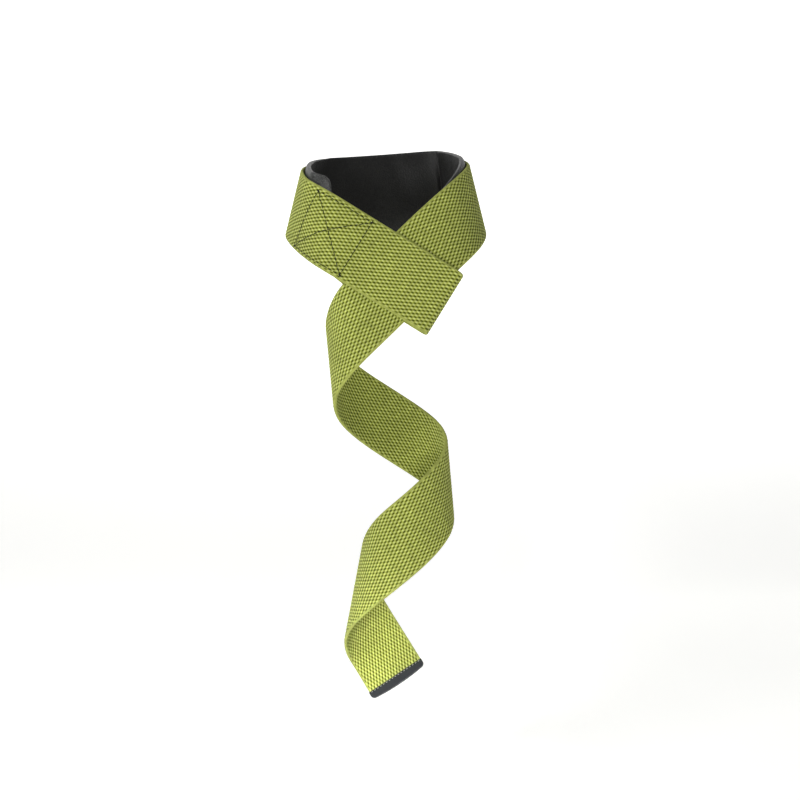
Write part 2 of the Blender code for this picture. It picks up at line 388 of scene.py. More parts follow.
    def closing_error(self, values: np.ndarray, start: Sequence[np.ndarray],
                      target: Sequence[np.ndarray], step: float) -> np.ndarray:
        """How far the end of the loop is from the slot.

        Args:
            values: Lengths, turns and slants of the loop.
            start: Frame at the fold.
            target: Frame in the slot.
            step: Distance between the points of the laid strip.

        Returns:
            Three distances as shares of the strap's width, and three angles.
        """
        strip = self.lay(values, start, step)
        twist = np.cross(strip.alongs[-1], target[1]) + np.cross(strip.acrosses[-1], target[2])
        offset = strip.centres[-1] - target[0]
        return np.concatenate([offset / self.sizes.width, 0.5 * twist])

    def closed_values(self, start: Sequence[np.ndarray],
                      target: Sequence[np.ndarray]) -> np.ndarray:
        """Loop values with the least change that brings the strap back into its slot.

        Args:
            start: Frame at the fold.
            target: Frame in the slot.

        Returns:
            Lengths, turns and slants of the loop.
        """
        sizes = self.sizes
        values = self.values_of(LOOP_STRETCHES, sizes.loop_length)
        free = np.array([item.name not in FIXED_STRETCHES for item in LOOP_STRETCHES], float)
        eases = (sizes.length_ease, sizes.turn_ease, sizes.slant_ease)
        ease = np.concatenate([amount * free for amount in eases])
        step = sizes.closing_coarseness * sizes.step
        for _ in range(sizes.closing_rounds):
            error = self.closing_error(values, start, target, step)
            if np.abs(error).max() < sizes.closing_limit:
                if step == sizes.step:
                    break
                step = sizes.step
                continue
            slopes = np.zeros((6, values.size))
            for index in np.flatnonzero(ease):
                nudge = sizes.closing_nudge * ease[index]
                moved = values.copy()
                moved[index] += nudge
                changed = self.closing_error(moved, start, target, step)
                slopes[:, index] = (changed - error) / nudge
            change = -np.linalg.pinv(slopes * ease) @ error
            change = change * min(1.0, sizes.closing_stride / np.abs(change).max())
            values = values + ease * change
        return values

    def layer_depth(self, distance: np.ndarray) -> np.ndarray:
        """Depth of the folded-back layer behind the flap.

        Args:
            distance: Distances from the fold.

        Returns:
            Depths, greater where the slot stands open.
        """
        sizes = self.sizes
        closed = sizes.thickness + sizes.gap
        opened = 2.0 * sizes.thickness + sizes.gap + sizes.slot_play
        share = smooth((sizes.slot_length + sizes.slot_taper - distance) / sizes.slot_taper)
        return closed + (opened - closed) * share

    def read(self, table: np.ndarray, places: np.ndarray) -> np.ndarray:
        """Rows of a table at given distances along the strap."""
        return np.stack([np.interp(places, self.places, column) for column in table.T], axis=-1)

    def front(self, along: np.ndarray, across: np.ndarray, out: np.ndarray) -> np.ndarray:
        """Points of the single layer that runs from the fold to the end of the tail.

        Each point is carried by the straight line across the strip that goes through it.

        Args:
            along: Distances along the strap.
            across: Distances across it.
            out: Heights above its middle surface.

        Returns:
            An array whose last axis holds x, y and z.
        """
        line = np.empty(along.shape)
        rounded = np.round(across, 7)
        for value in np.unique(rounded):
            here = rounded == value
            line[here] = np.interp(along[here], self.places + value * self.leans, self.places)
        lean = np.interp(line, self.places, self.leans)
        direction = self.read(self.alongs, line)
        overrun = (along - line - across * lean)[..., None]
        rolling = self.read(self.acrosses, line) + lean[..., None] * direction
        centre = self.read(self.centres, line) + overrun * direction
        return centre + across[..., None] * rolling + out[..., None] * self.read(self.normals, line)

    def point(self, along: Any, across: Any, out: Any) -> np.ndarray:
        """Points at flat positions, raised towards the strap's outer face.

        Args:
            along: Distances along the strap, negative on the folded-back layer.
            across: Distances across it.
            out: Heights above its middle surface.

        Returns:
            An array whose last axis holds x, y and z.
        """
        items = (np.asarray(value, float) for value in (along, across, out))
        along, across, out = np.broadcast_arrays(*items)
        radius = self.fold_radius
        behind = np.maximum(-along - self.bend, 0.0)
        front = self.front(np.maximum(along, 0.0), across, out)
        back = self.front(behind, across, -self.layer_depth(behind) - out)
        angle = np.clip(-along, 0.0, self.bend) / radius
        reach = (radius + out) * np.sin(angle)
        fold = self.front(-reach, across, (radius + out) * np.cos(angle) - radius)
        result = np.where((along < 0.0)[..., None], fold, front)
        return np.where((along < -self.bend)[..., None], back, result)


@dataclass(frozen=True)
class EndTrim:
    """Rounded corners of the tail's end, shared by the webbing and its binding."""

    radius: float = 2.4 * MM
    reach: float = 4.0 * MM
    half_width: float = 19.4 * MM

    def drop(self, along: np.ndarray, across: np.ndarray, end: float) -> np.ndarray:
        """Distance by which a point near the end is drawn back from its square corner.

        Args:
            along: Distances along the strap.
            across: Distances across it.
            end: Distance at which the strap ends.

        Returns:
            Distances to draw back.
        """
        past = np.clip(np.abs(across) - (self.half_width - self.radius), 0.0, self.radius)
        corner = self.radius - np.sqrt(np.maximum(self.radius ** 2 - past ** 2, 0.0))
        return corner * smooth((along - (end - self.reach)) / self.reach)


@dataclass(frozen=True)
class Weave:
    """Coarse cotton weave: rows of long beads along the strap, every other row half a bead on.

    Fullness below 1 makes the beads plump and their hollows narrow, and level is the share of
    the relief that then has to come off to keep the mean height at zero.
    """

    bead_pitch: float = 4.05 * MM
    row_pitch: float = 1.035 * MM
    relief: float = 0.24 * MM
    lean: float = 0.16
    fullness: float = 0.85
    level: float = 1.05
    selvedge: float = 1.1 * MM
    selvedge_inset: float = 0.3 * MM
    selvedge_ribs: float = 0.3
    steps_per_bead: int = 6
    columns_per_row: int = 2

    def height(self, along: np.ndarray, across: np.ndarray, half_width: float) -> np.ndarray:
        """Height of the woven surface above its mean.

        Args:
            along: Distances along the strap.
            across: Distances across it.
            half_width: Half of the strap's width.

        Returns:
            Heights in metres.
        """
        turn, row = 2.0 * math.pi * along / self.bead_pitch, math.pi * across / self.row_pitch
        wave = np.cos(turn) * np.cos(row) - self.lean * np.sin(turn) * np.sin(row)
        beads = 2.0 * (0.5 + 0.5 * wave) ** self.fullness - self.level
        inside = smooth((half_width - self.selvedge_inset - np.abs(across)) / self.selvedge)
        ribs = self.selvedge_ribs * np.cos(2.0 * turn)
        return self.relief * (beads * inside + ribs * (1.0 - inside) * (inside > 0.0))


@dataclass(frozen=True)
class StitchPlan:
    """The sewn box and cross that closes the slot, in flat positions on the flap."""

    near: float = 52.2 * MM
    far_low: float = 91.5 * MM
    far_high: float = 86.0 * MM
    low: float = -16.6 * MM
    high: float = 16.2 * MM
    groove: float = 0.10 * MM
    groove_width: float = 0.55 * MM

    def lines(self) -> list[tuple[tuple[float, float], tuple[float, float]]]:
        """Ends of each sewn line.

        Returns:
            The box's four sides and its two diagonals.
        """
        low_near, high_near = (self.near, self.low), (self.near, self.high)
        low_far, high_far = (self.far_low, self.low), (self.far_high, self.high)
        sides = [(low_near, high_near), (high_far, low_far), (low_far, low_near), (high_near, high_far)]
        return sides + [(low_near, high_far), (low_far, high_near)]

    def press(self, along: np.ndarray, across: np.ndarray) -> np.ndarray:
        """How far the thread presses the weave flat, on the flap.

        Args:
            along: Distances from the fold.
            across: Distances across the strap.

        Returns:
            Shares from 0 to 1.
        """
        nearest = np.full(np.shape(along), 1.0)
        for start, stop in self.lines():
            run = np.subtract(stop, start)
            share = ((along - start[0]) * run[0] + (across - start[1]) * run[1]) / run.dot(run)
            share = np.clip(share, 0.0, 1.0)
            gap = np.hypot(along - start[0] - share * run[0], across - start[1] - share * run[1])
            nearest = np.minimum(nearest, gap)
        return np.exp(-((nearest / self.groove_width) ** 2))


def ring_mesh(name: str, points: np.ndarray, flat: np.ndarray, columns: int, rim: int,
              sharp: float, marks: dict[str, np.ndarray] | None = None) -> bpy.types.Object:
    """Closed body through rings of points, its two ends closed by strips of faces.

    Each ring runs over one face, round one rim, back over the other face and round the other rim.

    Args:
        name: Name of the piece.
        points: Array of rings, of ring positions and of x, y and z.
        flat: Flat position of each point, kept as the UV map named strip.
        columns: Points on each face of a ring.
        rim: Points on each rim of a ring.
        sharp: Angle in degrees beyond which an edge is creased.
        marks: Numbers for each point, kept as attributes.

    Returns:
        The new object, with its place in its mesh.
    """
    rings, size = points.shape[:2]
    index = np.arange(rings * size).reshape(rings, size)
    follower = np.roll(index, -1, axis=1)
    sides = np.stack([index[:-1], follower[:-1], follower[1:], index[1:]], axis=-1).reshape(-1, 4)
    upper = np.arange(columns)
    lower = 2 * columns + rim - 1 - upper
    strip = np.stack([upper[:-1], lower[:-1], lower[1:], upper[1:]], axis=-1)
    ends = [list(quad) for quad in strip]
    if rim:
        ends.append([columns - 1, *range(columns + rim, columns - 1, -1)])
        ends.append([0, *range(2 * columns + 2 * rim - 1, 2 * columns + rim - 2, -1)])
    last = (rings - 1) * size
    faces = sides.tolist() + ends + [[last + corner for corner in reversed(end)] for end in ends]
    vertices = points.reshape(-1, 3)
    a, b, c, d = (vertices[sides[:, corner]] for corner in range(4))
    volume = np.einsum("ij,ij->", a, np.cross(b, c)) + np.einsum("ij,ij->", a, np.cross(c, d))
    if volume < 0.0:
        faces = [face[::-1] for face in faces]
    mesh = bpy.data.meshes.new(name)
    mesh.from_pydata(vertices.tolist(), [], faces)
    layer = mesh.uv_layers.new(name="strip")
    corners = np.empty(len(mesh.loops), dtype=np.int32)
    mesh.loops.foreach_get("vertex_index", corners)
    layer.data.foreach_set("uv", flat.reshape(-1, 2)[corners].ravel().astype(np.float32))
    for label, values in (marks or {}).items():
        attribute = mesh.attributes.new(label, "FLOAT", "POINT")
        attribute.data.foreach_set("value", values.ravel().astype(np.float32))
    mesh.polygons.foreach_set("use_smooth", np.ones(len(mesh.polygons), dtype=bool))
    mesh.set_sharp_from_angle(angle=math.radians(sharp))
    mesh.update()
    return new_object(name, mesh)


@dataclass(frozen=True)
class CottonWebbing:
    """Dyed cotton webbing, woven heavy and plain: matt beads, with painted shade darkening the
    hollows between them and painted highlight lightening their tops.

    A rise is the pair of pattern heights between which one colour gives way to the next. Each
    pair of tones holds the least and the greatest share of the colour. Bumps are in millimetres.
    """

    weave: Weave
    half_width: float
    bead: str = "#9ca446"
    # Painted highlight: lighter colour on the top of each bead.
    crown: str = "#cdd485"
    # Painted shade: darker colour in the hollows between the beads.
    hollow: str = "#424a0c"
    edge: str = "#9ba250"
    roughness: float = 0.92
    hollow_shade_rise: tuple[float, float] = (-0.80, 0.20)
    crown_rise: tuple[float, float] = (0.15, 0.95)
    crown_share: float = 0.80
    edge_start: float = 1.7 * MM
    edge_full: float = 0.7 * MM
    patch_size: float = 26.32 * MM
    fibre_length: float = 2.381 * MM
    fibre_width: float = 0.3846 * MM
    patch_tones: tuple[float, float] = (0.92, 1.07)
    fibre_tones: tuple[float, float] = (0.86, 1.12)
    bead_tones: tuple[float, float] = (0.84, 1.14)
    yarn_pitch: float = 0.42 * MM
    yarn_twist: float = math.radians(28.0)
    bead_bump: float = 0.12
    fibre_bump: float = 0.22
    yarn_bump: float = 0.10

    def material(self) -> bpy.types.Material:
        """Node material that follows the strip's own flat positions.

        Returns:
            The finished material.
        """
        material, shader = new_surface("dyed_cotton_webbing", {
            "Roughness": self.roughness, "IOR": 1.45, "Specular IOR Level": 0.3,
            "Sheen Weight": 0.03, "Sheen Roughness": 0.5})
        tree = material.node_tree
        strip = add_node(tree, "ShaderNodeUVMap", {"uv_map": "strip"})
        parts = add_node(tree, "ShaderNodeSeparateXYZ", None, {0: strip.outputs["UV"]})
        along, across = parts.outputs[0], parts.outputs[1]
        wave = self.wave(tree, along, across)
        # Painted shade: towards the hollows of the pattern the colour darkens to the hollow colour.
        depth = add_node(tree, "ShaderNodeMapRange", EASED, {
            "Value": wave.outputs[0], "From Min": self.hollow_shade_rise[0],
            "From Max": self.hollow_shade_rise[1]})
        # Painted highlight: towards the top of each bead the colour lightens to the highlight colour.
        crown = add_node(tree, "ShaderNodeMapRange", EASED, {
            "Value": wave.outputs[0], "From Min": self.crown_rise[0],
            "From Max": self.crown_rise[1], "To Max": self.crown_share})
        reach = add_node(tree, "ShaderNodeMath", {"operation": "ABSOLUTE"}, {0: across})
        selvedge = add_node(tree, "ShaderNodeMapRange", EASED, {
            "Value": reach.outputs[0], "From Min": self.half_width - self.edge_start,
            "From Max": self.half_width - self.edge_full})
        colour = linear(self.hollow)
        for share, layer in ((depth, self.bead), (crown, self.crown), (selvedge, self.edge)):
            mixed = add_node(tree, "ShaderNodeMix", MIX_COLOURS, {
                0: share.outputs[0], MIX_A: colour, MIX_B: linear(layer)})
            colour = mixed.outputs[MIX_RESULT]
        flat_map = add_node(tree, "ShaderNodeMapping", None, {
            "Vector": strip.outputs["UV"],
            "Scale": (1.0 / self.fibre_length, 1.0 / self.fibre_width, 1.0)})
        fibres = add_node(tree, "ShaderNodeTexNoise", None, {
            "Vector": flat_map.outputs[0], "Scale": 1.0, "Detail": 2.0, "Roughness": 0.6})
        tone = self.tone(tree, strip, fibres)
        tinted = add_node(tree, "ShaderNodeHueSaturation", None, {
            "Color": colour, "Value": tone.outputs[0]})
        tree.links.new(tinted.outputs[0], shader.inputs["Base Color"])
        self.link_bump(tree, shader, strip, wave, fibres)
        return material

    def wave(self, tree: bpy.types.NodeTree, along: bpy.types.NodeSocket,
             across: bpy.types.NodeSocket) -> bpy.types.Node:
        """Bead pattern, as Weave.height has it: from -1 in a hollow to 1 on the top of a bead.

        Args:
            tree: The material's tree.
            along: Socket with the distance along the strap.
            across: Socket with the distance across it.

        Returns:
            Node that gives the pattern.
        """
        phase = add_node(tree, "ShaderNodeMath", TIMES, {
            0: along, 1: 2.0 * math.pi / self.weave.bead_pitch})
        row = add_node(tree, "ShaderNodeMath", TIMES, {0: across, 1: math.pi / self.weave.row_pitch})
        products = []
        for shape in ("COSINE", "SINE"):
            turns = [
                add_node(tree, "ShaderNodeMath", {"operation": shape}, {0: angle.outputs[0]})
                for angle in (phase, row)
            ]
            products.append(add_node(tree, "ShaderNodeMath", TIMES, {
                0: turns[0].outputs[0], 1: turns[1].outputs[0]}))
        even, leaning = products
        return add_node(tree, "ShaderNodeMath", TIMES_PLUS, {
            0: leaning.outputs[0], 1: -self.weave.lean, 2: even.outputs[0]})

    def tone(self, tree: bpy.types.NodeTree, strip: bpy.types.Node,
             fibres: bpy.types.Node) -> bpy.types.Node:
        """Share of the colour: the dye's patches, the fibres' streaks and the uneven beads.

        Args:
            tree: The material's tree.
            strip: Node that gives the flat position.
            fibres: Node that gives the fibre streaks.

        Returns:
            Node that gives the share.
        """
        place = add_node(tree, "ShaderNodeTexCoord")
        patches = add_node(tree, "ShaderNodeTexNoise", None, {
            "Vector": place.outputs["Object"], "Scale": 1.0 / self.patch_size, "Detail": 3.0,
            "Roughness": 0.55})
        # One cell of noise for about every bead.
        bead_map = add_node(tree, "ShaderNodeMapping", None, {
            "Vector": strip.outputs["UV"],
            "Scale": (1.1 / self.weave.bead_pitch, 0.8 / self.weave.row_pitch, 1.0)})
        uneven = add_node(tree, "ShaderNodeTexNoise", None, {
            "Vector": bead_map.outputs[0], "Scale": 1.0, "Detail": 0.0})
        share = 1.0
        for noise, spread, tones in ((patches, 0.20, self.patch_tones), (fibres, 0.20, self.fibre_tones),
                                     (uneven, 0.25, self.bead_tones)):
            level = add_node(tree, "ShaderNodeMapRange", None, {
                "Value": noise.outputs["Fac"], "From Min": 0.5 - spread, "From Max": 0.5 + spread,
                "To Min": tones[0], "To Max": tones[1]})
            product = add_node(tree, "ShaderNodeMath", TIMES, {0: share, 1: level.outputs[0]})
            share = product.outputs[0]
        return product

    def link_bump(self, tree: bpy.types.NodeTree, shader: bpy.types.Node, strip: bpy.types.Node,
                  wave: bpy.types.Node, fibres: bpy.types.Node) -> None:
        """Add the roundness of the beads and the twist of their yarn as bump.

        Args:
            tree: The material's tree.
            shader: Its surface shader.
            strip: Node that gives the flat position.
            wave: Node that gives the bead pattern.
            fibres: Node that gives the fibre streaks.
        """
        twist_map = add_node(tree, "ShaderNodeMapping", None, {
            "Vector": strip.outputs["UV"], "Rotation": (0.0, 0.0, self.yarn_twist)})
        twist = add_node(tree, "ShaderNodeTexWave", {"bands_direction": "Y"}, {
            "Vector": twist_map.outputs[0], "Scale": WAVE_PERIOD / self.yarn_pitch,
            "Distortion": 1.0, "Detail": 1.0})
        yarn = add_node(tree, "ShaderNodeMath", TIMES, {0: twist.outputs["Fac"], 1: self.yarn_bump})
        fuzz = add_node(tree, "ShaderNodeMath", TIMES_PLUS, {
            0: fibres.outputs["Fac"], 1: self.fibre_bump, 2: yarn.outputs[0]})
        height = add_node(tree, "ShaderNodeMath", TIMES_PLUS, {
            0: wave.outputs[0], 1: self.bead_bump, 2: fuzz.outputs[0]})
        bump = add_node(tree, "ShaderNodeBump", None, {
            "Strength": 0.9, "Distance": MM, "Height": height.outputs[0]})
        tree.links.new(bump.outputs[0], shader.inputs["Normal"])


@dataclass(frozen=True)
class KnitFoam:
    """Black foam faced with fine knit: nearly black, with a faint grain and a soft grey sheen.

    Where the lip turns its back to the eye, the grey backing shows instead, streaked with
    painted highlights, and the rolled rims are a lighter grey as a painted highlight. The pair of
    tones holds the share of the colour on a knit loop and between the loops. Bumps are in
    millimetres.
    """

    face: str = "#111110"
    worn: str = "#1c1c1b"
    # Painted highlight: lighter grey along the pad's rolled edges.
    rim: str = "#2a2a29"
    backing: str = "#3c3d3b"
    knit_pitch: float = 0.9 * MM
    patch_size: float = 22.22 * MM
    streak_length: float = 3.846 * MM
    streak_width: float = 0.6667 * MM
    # Tones of the painted highlight streaks on the lip's grey backing.
    highlight_streak_tones: tuple[float, float] = (0.25, 1.0)
    wear_levels: tuple[float, float] = (0.35, 0.75)
    loop_tones: tuple[float, float] = (1.7, 0.45)
    dent_bump: float = 0.35
    loop_bump: float = -0.16

    def material(self) -> bpy.types.Material:
        """Node material that follows the pad's own flat positions.

        Returns:
            The finished material.
        """
        material, shader = new_surface("black_knit_foam", {
            "Roughness": 0.46, "IOR": 1.5, "Specular IOR Level": 0.4,
            "Sheen Weight": 0.06, "Sheen Roughness": 0.45})
        tree = material.node_tree
        strip = add_node(tree, "ShaderNodeUVMap", {"uv_map": "strip"})
        place = add_node(tree, "ShaderNodeTexCoord")
        rim, backing = (
            add_node(tree, "ShaderNodeAttribute", {"attribute_name": label})
            for label in ("rim", "backing")
        )
        patches = add_node(tree, "ShaderNodeTexNoise", None, {
            "Vector": place.outputs["Object"], "Scale": 1.0 / self.patch_size, "Detail": 4.0,
            "Roughness": 0.6})
        wear = add_node(tree, "ShaderNodeMapRange", None, {
            "Value": patches.outputs["Fac"], "From Min": self.wear_levels[0],
            "From Max": self.wear_levels[1]})
        streak_map = add_node(tree, "ShaderNodeMapping", None, {
            "Vector": strip.outputs["UV"],
            "Scale": (1.0 / self.streak_length, 1.0 / self.streak_width, 1.0)})
        streak_noise = add_node(tree, "ShaderNodeTexNoise", None, {
            "Vector": streak_map.outputs[0], "Scale": 1.0, "Detail": 2.0})
        # Painted highlight: lighter streaks across the grey backing of the lip.
        streaks = add_node(tree, "ShaderNodeMapRange", None, {
            "Value": streak_noise.outputs["Fac"], "From Min": 0.3, "From Max": 0.7,
            "To Min": self.highlight_streak_tones[0], "To Max": self.highlight_streak_tones[1]})
        bare = add_node(tree, "ShaderNodeMath", TIMES, {
            0: streaks.outputs[0], 1: backing.outputs["Fac"]})
        colour = linear(self.face)
        # The rolled rims take the lighter rim colour as a painted highlight; the worn colour follows
        # random patches.
        for share, layer in ((wear.outputs[0], self.worn), (rim.outputs["Fac"], self.rim),
                             (bare.outputs[0], self.backing)):
            mixed = add_node(tree, "ShaderNodeMix", MIX_COLOURS, {
                0: share, MIX_A: colour, MIX_B: linear(layer)})
            colour = mixed.outputs[MIX_RESULT]
        grain = add_node(tree, "ShaderNodeTexVoronoi", {"feature": "F1"}, {
            "Vector": strip.outputs["UV"], "Scale": 1.0 / self.knit_pitch, "Randomness": 0.8})
        tone = add_node(tree, "ShaderNodeMapRange", None, {
            "Value": grain.outputs["Distance"], "From Max": 0.7,
            "To Min": self.loop_tones[0], "To Max": self.loop_tones[1]})
        tinted = add_node(tree, "ShaderNodeHueSaturation", None, {
            "Color": colour, "Value": tone.outputs[0]})
        tree.links.new(tinted.outputs[0], shader.inputs["Base Color"])
        rounded = add_node(tree, "ShaderNodeMath", TIMES, {
            0: grain.outputs["Distance"], 1: self.loop_bump})
        height = add_node(tree, "ShaderNodeMath", TIMES_PLUS, {
            0: patches.outputs["Fac"], 1: self.dent_bump, 2: rounded.outputs[0]})
        bump = add_node(tree, "ShaderNodeBump", None, {
            "Strength": 1.0, "Distance": MM, "Height": height.outputs[0]})
        tree.links.new(bump.outputs[0], shader.inputs["Normal"])
        return material


@dataclass(frozen=True)
class BindingTape:
    """Moulded vinyl binding: dark blue-grey, smooth, with a dull shine, a lighter band painted along its
    nose as a highlight, and scuffing in random patches.
    """

    face: str = "#121519"
    # Lighter colour along the rim: painted highlight, with scuffing where the random patches fall.
    scuff_and_highlight: str = "#6c6f73"
    grain_size: float = 1.111 * MM
    grain_bump: float = 0.15 * MM
    patch_size: float = 6.25 * MM
    wear_levels: tuple[float, float] = (0.35, 0.70)
    # Least and greatest share of that lighter colour, by random patch.
    scuff_and_highlight_shares: tuple[float, float] = (0.15, 0.80)
    roughness: tuple[float, float] = (0.60, 0.82)

    def material(self) -> bpy.types.Material:
        """Node material with fine leather grain and a lighter colour along the rim: painted highlight,
        broken up by scuffing in random patches.

        Returns:
            The finished material.
        """
        material, shader = new_surface("moulded_vinyl_binding", {
            "IOR": 1.5, "Specular IOR Level": 0.3})
        tree = material.node_tree
        place = add_node(tree, "ShaderNodeTexCoord")
        grain = add_node(tree, "ShaderNodeTexNoise", None, {
            "Vector": place.outputs["Object"], "Scale": 1.0 / self.grain_size, "Detail": 3.0})
        patches = add_node(tree, "ShaderNodeTexNoise", None, {
            "Vector": place.outputs["Object"], "Scale": 1.0 / self.patch_size, "Detail": 4.0,
            "Roughness": 0.65})
        rim = add_node(tree, "ShaderNodeAttribute", {"attribute_name": "rim"})
        worn = add_node(tree, "ShaderNodeMapRange", None, {
            "Value": patches.outputs["Fac"], "From Min": self.wear_levels[0],
            "From Max": self.wear_levels[1],
            "To Min": self.scuff_and_highlight_shares[0], "To Max": self.scuff_and_highlight_shares[1]})
        # Painted highlight along the rim, broken up by scuffing in random patches.
        scuff_and_highlight_mask = add_node(tree, "ShaderNodeMath", TIMES, {
            0: worn.outputs[0], 1: rim.outputs["Fac"]})
        colour = add_node(tree, "ShaderNodeMix", MIX_COLOURS, {
            0: scuff_and_highlight_mask.outputs[0], MIX_A: linear(self.face), MIX_B: linear(self.scuff_and_highlight)})
        tree.links.new(colour.outputs[MIX_RESULT], shader.inputs["Base Color"])
        gloss = add_node(tree, "ShaderNodeMapRange", None, {
            "Value": patches.outputs["Fac"], "To Min": self.roughness[0],
            "To Max": self.roughness[1]})
        tree.links.new(gloss.outputs[0], shader.inputs["Roughness"])
        bump = add_node(tree, "ShaderNodeBump", None, {
            "Strength": 0.5, "Distance": self.grain_bump, "Height": grain.outputs["Fac"]})
        tree.links.new(bump.outputs[0], shader.inputs["Normal"])
        return material


@dataclass(frozen=True)
class SewingThread:
    """Bonded polyester thread: a fine twisted cord with a slight shine."""

    name: str
    colour: str
    roughness: float = 0.55
    twist_pitch: float = 0.3489 * MM
    twist_bump: float = 0.05 * MM
    twist_tones: tuple[float, float] = (0.75, 1.15)

    def material(self) -> bpy.types.Material:
        """Node material with the thread's twist as fine bands.

        Returns:
            The finished material.
        """
        material, shader = new_surface(self.name, {
            "Roughness": self.roughness, "IOR": 1.5, "Specular IOR Level": 0.2})
        tree = material.node_tree
        place = add_node(tree, "ShaderNodeTexCoord")
        twist = add_node(tree, "ShaderNodeTexWave", {"bands_direction": "DIAGONAL"}, {
            "Vector": place.outputs["Object"], "Scale": WAVE_PERIOD / self.twist_pitch,
            "Distortion": 0.5})
        tone = add_node(tree, "ShaderNodeMapRange", None, {
            "Value": twist.outputs["Fac"], "To Min": self.twist_tones[0],
            "To Max": self.twist_tones[1]})
        tinted = add_node(tree, "ShaderNodeHueSaturation", None, {
            "Color": linear(self.colour), "Value": tone.outputs[0]})
        tree.links.new(tinted.outputs[0], shader.inputs["Base Color"])
        bump = add_node(tree, "ShaderNodeBump", None, {
            "Strength": 0.5, "Distance": self.twist_bump, "Height": twist.outputs["Fac"]})
        tree.links.new(bump.outputs[0], shader.inputs["Normal"])
        return material


@dataclass
class WebbingRun:
    """A length of the webbing between two flat distances, with its woven relief.

    Each rim of its outline is a list of points: how far each lies inside the strap's edge, and
    its height as a share of the half thickness.
    """

    name: str
    first: float
    last: float
    held: Held
    path: StrapPath
    weave: Weave
    plan: StitchPlan
    trim: EndTrim
    face_margin: float = 0.8 * MM
    rim_insets: tuple[float, ...] = (0.38 * MM, 0.07 * MM, 0.0, 0.07 * MM, 0.38 * MM)
    rim_heights: tuple[float, ...] = (0.80, 0.42, 0.0, -0.42, -0.80)
    core_inset: float = 0.05 * MM
    flattening: float = 0.8
    crease_angle: float = 84.0

    def rings(self) -> np.ndarray:
        """Distances of the mesh rings, on the weave's own rhythm.

        Returns:
            The distances in their order, with both ends of the run.
        """
        step = self.weave.bead_pitch / self.weave.steps_per_bead
        start, stop = math.ceil(self.first / step + 0.2), math.floor(self.last / step - 0.2)
        return np.concatenate([[self.first], np.arange(start, stop + 1) * step, [self.last]])

    def section(self) -> tuple[np.ndarray, np.ndarray, np.ndarray, int, int]:
        """Outline across the strap.

        Returns:
            Distance across, height as a share of the half thickness, which face each point
            belongs to, the points on each face and the points on each rim.
        """
        half = 0.5 * self.path.sizes.width
        spacing = self.weave.row_pitch / self.weave.columns_per_row
        count = int((half - self.face_margin) / spacing)
        face = np.arange(-count, count + 1) * spacing
        rim = half - np.array(self.rim_insets)
        lift = np.array(self.rim_heights)
        across = np.concatenate([face, rim, face[::-1], -rim])
        ones = np.ones(face.size)
        height = np.concatenate([ones, lift, -ones, -lift])
        inner = np.concatenate([0.0 * ones, lift < 0.0, ones, -lift <= 0.0])
        return across, height, inner, face.size, rim.size

    def build(self, material: bpy.types.Material) -> bpy.types.Object:
        """Make the run as one closed body.

        Args:
            material: Finish of the webbing.

        Returns:
            The finished piece.
        """
        sizes = self.path.sizes
        half_width, half_thickness = 0.5 * sizes.width, 0.5 * sizes.thickness
        across, share, inner, columns, rim = self.section()
        along = self.rings()[:, None] + 0.0 * across
        across_all = across + 0.0 * along
        woven = along + inner * 0.5 * self.weave.bead_pitch
        relief = self.weave.height(woven, across_all, half_width)
        on_flap = np.where(along < -self.path.bend, -along - self.path.bend, along)
        seen = (along > 0.0) | (along < -self.path.bend)
        press = self.plan.press(on_flap, across_all) * (1.0 - inner) * seen
        relief = relief * (1.0 - self.flattening * press) - self.plan.groove * press
        relief = relief * (np.abs(share) == 1.0)
        raised = share * (half_thickness - self.core_inset) + np.sign(share) * relief
        end = self.path.total_length
        trimmed = along - self.trim.drop(along, across_all, end)
        points = self.path.point(trimmed, across_all, raised)
        flat = np.stack([woven, across_all], axis=-1)
        piece = ring_mesh(self.name, points, flat, columns, rim, self.crease_angle)
        piece.data.materials.append(material)
        return piece


@dataclass
class Webbing:
    """The whole strap: its folded end, the wrist loop and the tail."""

    path: StrapPath
    weave: Weave = field(default_factory=Weave)
    plan: StitchPlan = field(default_factory=StitchPlan)
    trim: EndTrim = field(default_factory=EndTrim)

    def runs(self) -> list[WebbingRun]:
        """The lengths that the strap is made in, which meet where the real one is hidden.

        Returns:
            Folded end, wrist loop and tail.
        """
        path = self.path
        middle = -0.5 * path.bend
        ends = [
            ("webbing_folded_end", -path.bend - path.sizes.folded_length, middle, Held.FOLDED),
            ("webbing_wrist_loop", middle, path.loop_length, Held.STRETCHED),
            ("webbing_tail", path.loop_length, path.total_length, Held.HUNG),
        ]
        return [
            WebbingRun(name, first, last, held, path, self.weave, self.plan, self.trim)
            for name, first, last, held in ends
        ]

    def build(self) -> list[bpy.types.Object]:
        """Make and declare every run.

        Returns:
            The finished pieces.
        """
        finish = CottonWebbing(self.weave, 0.5 * self.path.sizes.width).material()
        pieces = []
        for run in self.runs():
            piece = run.build(finish)
            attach(piece, ROOT)
            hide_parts("strap_webbing")
            pieces.append(piece)
        return pieces


